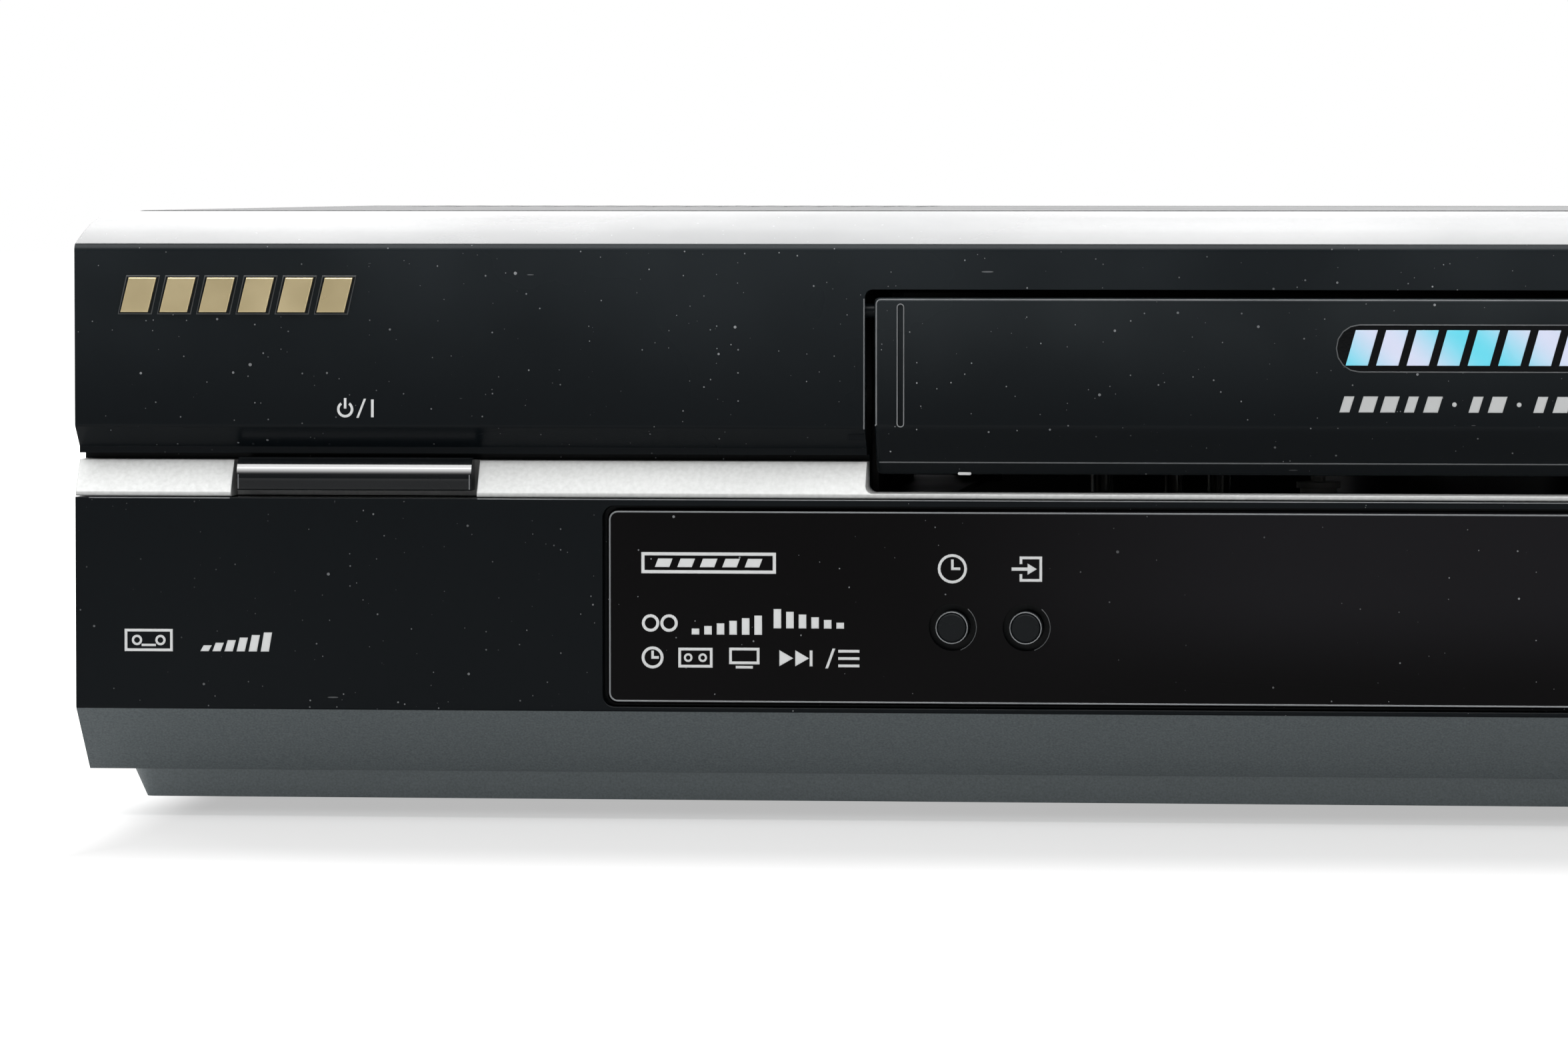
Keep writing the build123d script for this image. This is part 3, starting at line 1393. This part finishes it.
# ---------------------------------------------------------------- loading drive
# Small motor on its side with a worm on its shaft, which turns the cam gear that works the
# guides, the pinch arm and the cassette lift.
worm_r = 3.5
cam_height = 6.0
cam_teeth = 40
tooth = 1.6
worm_x = cam_centre[0] - cam_r - worm_r - fit
worm_z = cam_z + cam_height / 2
motor_r = 9.0
motor_length = 24.0
worm_start_d = cam_centre[1] - 17.0
worm_end_d = cam_centre[1] + 17.0
motor_front_d = worm_start_d - motor_length - 3.0
worm_turns = 8
worm_shaft_r = 1.2
end_bearing_d = worm_end_d + 2.0
with BuildPart() as loading_motor:
    with BuildSketch(at_depth(motor_front_d)):
        with Locations((worm_x, worm_z)):
            Circle(motor_r)
    extrude(amount=-motor_length)
    with BuildSketch(at_height(deck_top)):
        with Locations(deck_point(worm_x, (motor_front_d + end_bearing_d + 2) / 2)):
            Rectangle(9, end_bearing_d + 2 - motor_front_d)
    extrude(amount=arm_sheet)
    with BuildSketch(at_height(deck_top)):
        with Locations(deck_point(worm_x, motor_front_d + motor_length / 2)):
            Rectangle(9, motor_length)
    extrude(amount=worm_z - motor_r - deck_top + 1)
    with BuildSketch(at_depth(end_bearing_d)):
        with Locations((worm_x, (deck_top + worm_z + 3) / 2)):
            Rectangle(9, worm_z + 3 - deck_top)
    extrude(amount=-2)
    with BuildSketch(at_depth(motor_front_d + motor_length - 5)):
        with Locations((worm_x, worm_z)):
            Circle(worm_shaft_r + running)
    extrude(amount=-60, mode=Mode.SUBTRACT)
loading_motor.part.label = "loading_motor"
export_step(loading_motor.part, "parts/loading_motor.step")

with BuildPart() as worm:
    with BuildSketch(at_depth(motor_front_d + motor_length - 4)):
        with Locations((worm_x, worm_z)):
            Circle(worm_shaft_r)
    extrude(amount=-(end_bearing_d + 2 - motor_front_d - motor_length + 4))
    with BuildSketch(at_depth(worm_start_d)):
        with Locations((worm_x, worm_z)):
            Circle(worm_r - 1)
    extrude(amount=-(worm_end_d - worm_start_d))
    thread_pitch = (worm_end_d - worm_start_d) / worm_turns
    for turn in range(worm_turns):
        with BuildSketch(at_depth(worm_start_d + (turn + 0.25) * thread_pitch)):
            with Locations((worm_x, worm_z)):
                Circle(worm_r)
        extrude(amount=-thread_pitch / 2)
worm.part.label = "worm"
export_step(worm.part, "parts/worm.step")

with BuildPart() as cam_gear:
    with BuildSketch(at_height(cam_z)):
        with Locations(deck_point(*cam_centre)):
            Circle(cam_r - tooth)
            with PolarLocations(cam_r - tooth / 2 - 0.1, cam_teeth):
                Trapezoid(1.7, tooth + 0.2, 72, rotation=-90)
            Circle(3.0 + running, mode=Mode.SUBTRACT)
    extrude(amount=cam_height)
    with BuildSketch(at_height(cam_z + cam_height)):
        with Locations(deck_point(*cam_centre)):
            Circle(cam_r - 4)
            Circle(cam_r - 6.5, mode=Mode.SUBTRACT)
            with Locations((8, 0)):
                Circle(2.5)
    extrude(amount=-3, mode=Mode.SUBTRACT)
cam_gear.part.label = "cam_gear"
export_step(cam_gear.part, "parts/cam_gear.step")

# ---------------------------------------------------------------- main board
# L-shaped board along the right side and across the back, with its larger chips.
strip_front_y = board_rear_y - 41.0
strip_left_x = -104.0
chips = (
    ((board_mid_x - 5, -70), (36, 14)),
    ((board_mid_x - 5, -30), (28, 28)),
    ((board_mid_x - 20, 20), (30, 12)),
    ((board_mid_x + 20, 30), (14, 30)),
    ((board_mid_x - 5, 70), (36, 12)),
    ((-70, 95), (30, 12)),
)
with BuildPart() as main_board:
    with BuildSketch(at_height(board_z)) as board_shape:
        with BuildLine():
            Polyline(
                (board_inner_x, board_front_y),
                (board_edge_x, board_front_y),
                (board_edge_x, board_rear_y),
                (strip_left_x, board_rear_y),
                (strip_left_x, strip_front_y),
                (board_inner_x, strip_front_y),
                close=True,
            )
        make_face()
        fillet(board_shape.vertices(), 2)
    extrude(amount=board_sheet)
    with BuildSketch(at_height(board_z + board_sheet)):
        for place, size in chips:
            with Locations(place):
                Rectangle(*size)
    extrude(amount=3.5)
main_board.part.label = "main_board"
export_step(main_board.part, "parts/main_board.step")

# ---------------------------------------------------------------- power board
power_board_top = board_z + board_sheet
with BuildPart() as power_board:
    with BuildSketch(at_height(board_z)):
        with Locations((-board_mid_x, board_rear_y - power_board_length / 2)):
            RectangleRounded(board_edge_x - board_inner_x, power_board_length, 2)
    extrude(amount=board_sheet)
power_board.part.label = "power_board"
export_step(power_board.part, "parts/power_board.step")

# ---------------------------------------------------------------- transformer
# Laminated core with the winding on a bobbin round its middle leg.
core = (44.0, 36.0, 34.0)
transformer_place = (30.0 - board_edge_x, board_rear_y - 39.0)
with BuildPart() as transformer:
    with BuildSketch(Plane.XZ.offset(-(transformer_place[1] + core[1] / 2 - 9))):
        with Locations((transformer_place[0], power_board_top + core[2] / 2)):
            Rectangle(core[0], core[2])
            with Locations((-core[0] / 4 + 0.5, 0), (core[0] / 4 - 0.5, 0)):
                Rectangle(core[0] / 6, core[2] * 0.62, mode=Mode.SUBTRACT)
    extrude(amount=core[1] - 18)
    with BuildSketch(at_height(power_board_top + core[2] * 0.19)):
        with Locations(transformer_place):
            RectangleRounded(core[0] * 0.64, core[1], 4)
    extrude(amount=core[2] * 0.62)
transformer.part.label = "transformer"
export_step(transformer.part, "parts/transformer.step")

# ---------------------------------------------------------------- heat sink
fin_count = 7
fin_pitch = 5.0
fin_reach = 18.0
sink_height = 32.0
sink_x = -board_inner_x - 14.0
sink_y = board_rear_y - 87.0
with BuildPart() as heat_sink:
    with BuildSketch(at_height(power_board_top)):
        with Locations((sink_x, sink_y)):
            Rectangle(3, (fin_count - 1) * fin_pitch + 4)
        with Locations((sink_x - fin_reach / 2, sink_y)):
            with GridLocations(1, fin_pitch, 1, fin_count):
                Rectangle(fin_reach, 1.4)
    extrude(amount=sink_height)
heat_sink.part.label = "heat_sink"
export_step(heat_sink.part, "parts/heat_sink.step")

# ---------------------------------------------------------------- capacitors
capacitor_sizes = (
    ((16.0 - board_edge_x, 30), 10.0, 32.0),
    ((-board_inner_x - 24.0, -4), 7.0, 24.0),
    ((40.0 - board_edge_x, 105), 6.0, 20.0),
    ((16.0 - board_edge_x, -8), 5.0, 16.0),
    ((32.0 - board_edge_x, -10), 5.0, 16.0),
)
with BuildPart() as capacitors:
    for place, radius, height in capacitor_sizes:
        with BuildSketch(at_height(power_board_top)):
            with Locations(place):
                Circle(radius)
        extrude(amount=height)
    chamfer(capacitors.faces().filter_by(Plane.XY).filter_by(
        lambda face: face.center().Z > power_board_top + 1).edges(), 0.7)
capacitors.part.label = "capacitors"
export_step(capacitors.part, "parts/capacitors.step")

# ---------------------------------------------------------------- tuner can
# Tinned steel box with the two aerial sockets screwed through its end wall.
can = (46.0, 34.0, 28.0)
can_x = 86.0
can_gap = 13.0
socket_tip_y = depth / 2
panel_inner_y = rear_y - panel_sheet
can_rear_y = panel_inner_y - 0.3
with BuildPart() as tuner_can:
    with BuildSketch(at_height(power_board_top)):
        with Locations((can_x, can_rear_y - can[1] / 2 - can_gap)):
            Rectangle(can[0], can[1])
    extrude(amount=can[2])
    with BuildSketch(Plane.XZ.offset(-(can_rear_y - can_gap))):
        with Locations(*aerial_places):
            Circle(aerial_r)
    extrude(amount=-(rear_y + 1.5 - can_rear_y + can_gap))
    with BuildSketch(Plane.XZ.offset(-(rear_y + 1.5))):
        with Locations(*aerial_places):
            Circle(aerial_r - 0.8)
    extrude(amount=-(socket_tip_y - rear_y - 1.5))
    with BuildSketch(Plane.XZ.offset(-socket_tip_y)):
        with Locations(*aerial_places):
            Circle(aerial_r - 1.8)
            Circle(1.2, mode=Mode.SUBTRACT)
    extrude(amount=9, mode=Mode.SUBTRACT)
tuner_can.part.label = "tuner_can"
export_step(tuner_can.part, "parts/tuner_can.step")

# ---------------------------------------------------------------- SCART sockets
# Two shrouded sockets, one above the other, on a block that stands on the main board.
scart_proud = 2.0
scart_block_y = 112.0
with BuildPart() as scart_sockets:
    with BuildSketch(at_height(power_board_top)):
        with Locations((scart_places[0][0], scart_block_y)):
            Rectangle(scart_size[0], 9)
    extrude(amount=scart_places[1][1] + scart_size[1] / 2 - power_board_top)
    with BuildSketch(Plane.XZ.offset(-scart_block_y)):
        with Locations(*scart_places):
            RectangleRounded(*scart_size, 1.6)
    extrude(amount=-(rear_y + scart_proud - scart_block_y))
    with BuildSketch(Plane.XZ.offset(-(rear_y + scart_proud))):
        with Locations(*scart_places):
            RectangleRounded(scart_size[0] - 4, scart_size[1] - 5, 3)
            Rectangle(scart_size[0] - 12, 4, mode=Mode.SUBTRACT)
    extrude(amount=10, mode=Mode.SUBTRACT)
scart_sockets.part.label = "scart_sockets"
export_step(scart_sockets.part, "parts/scart_sockets.step")

# ---------------------------------------------------------------- audio and video jacks
# Four phono jacks on a common block: an insulating ring, a barrel and a hole for the pin.
jack_block_y = 113.0
jack_mid_x = (jack_places[0][0] + jack_places[2][0]) / 2
barrel_r = 4.1
with BuildPart() as phono_jacks:
    with BuildSketch(at_height(power_board_top)):
        with Locations((jack_mid_x, jack_block_y)):
            Rectangle(30, 12)
    extrude(amount=42)
    with BuildSketch(Plane.XZ.offset(-jack_block_y)):
        with Locations(*jack_places):
            Circle(jack_r)
    extrude(amount=-(rear_y + 1.0 - jack_block_y))
    with BuildSketch(Plane.XZ.offset(-(rear_y + 1.0))):
        with Locations(*jack_places):
            Circle(barrel_r)
    extrude(amount=-(socket_proud - 1.0))
    with BuildSketch(Plane.XZ.offset(-socket_tip_y)):
        with Locations(*jack_places):
            Circle(1.7)
    extrude(amount=12, mode=Mode.SUBTRACT)
phono_jacks.part.label = "phono_jacks"
export_step(phono_jacks.part, "parts/phono_jacks.step")

# ---------------------------------------------------------------- mains inlet
# Two-pin inlet: a flanged body held against the rear panel, with a figure-of-eight well that
# has two pins in it, on a foot that stands on the power board.
inlet_proud = 1.2
pin_pitch = 8.0
with BuildPart() as mains_inlet:
    with BuildSketch(Plane.XZ.offset(-(panel_inner_y - 14))):
        with Locations(inlet_place):
            RectangleRounded(*inlet_size, 1.5)
    extrude(amount=-(14 + panel_sheet + inlet_proud))
    with BuildSketch(Plane.XZ.offset(-(panel_inner_y - 1.8))):
        with Locations(inlet_place):
            RectangleRounded(inlet_size[0] + 6, inlet_size[1] + 5, 1.5)
    extrude(amount=-1.6)
    with BuildSketch(Plane.XZ.offset(-(rear_y + inlet_proud))):
        with Locations(inlet_place):
            with Locations((-pin_pitch / 2, 0), (pin_pitch / 2, 0)):
                Circle(4.2)
            Rectangle(pin_pitch, 6.4)
            with Locations((-pin_pitch / 2, 0), (pin_pitch / 2, 0)):
                Circle(1.2, mode=Mode.SUBTRACT)
    extrude(amount=11, mode=Mode.SUBTRACT)
    with BuildSketch(at_height(power_board_top)):
        with Locations((inlet_place[0], board_rear_y - 2)):
            Rectangle(inlet_size[0], 8)
    extrude(amount=inlet_place[1] - power_board_top)
mains_inlet.part.label = "mains_inlet"
export_step(mains_inlet.part, "parts/mains_inlet.step")
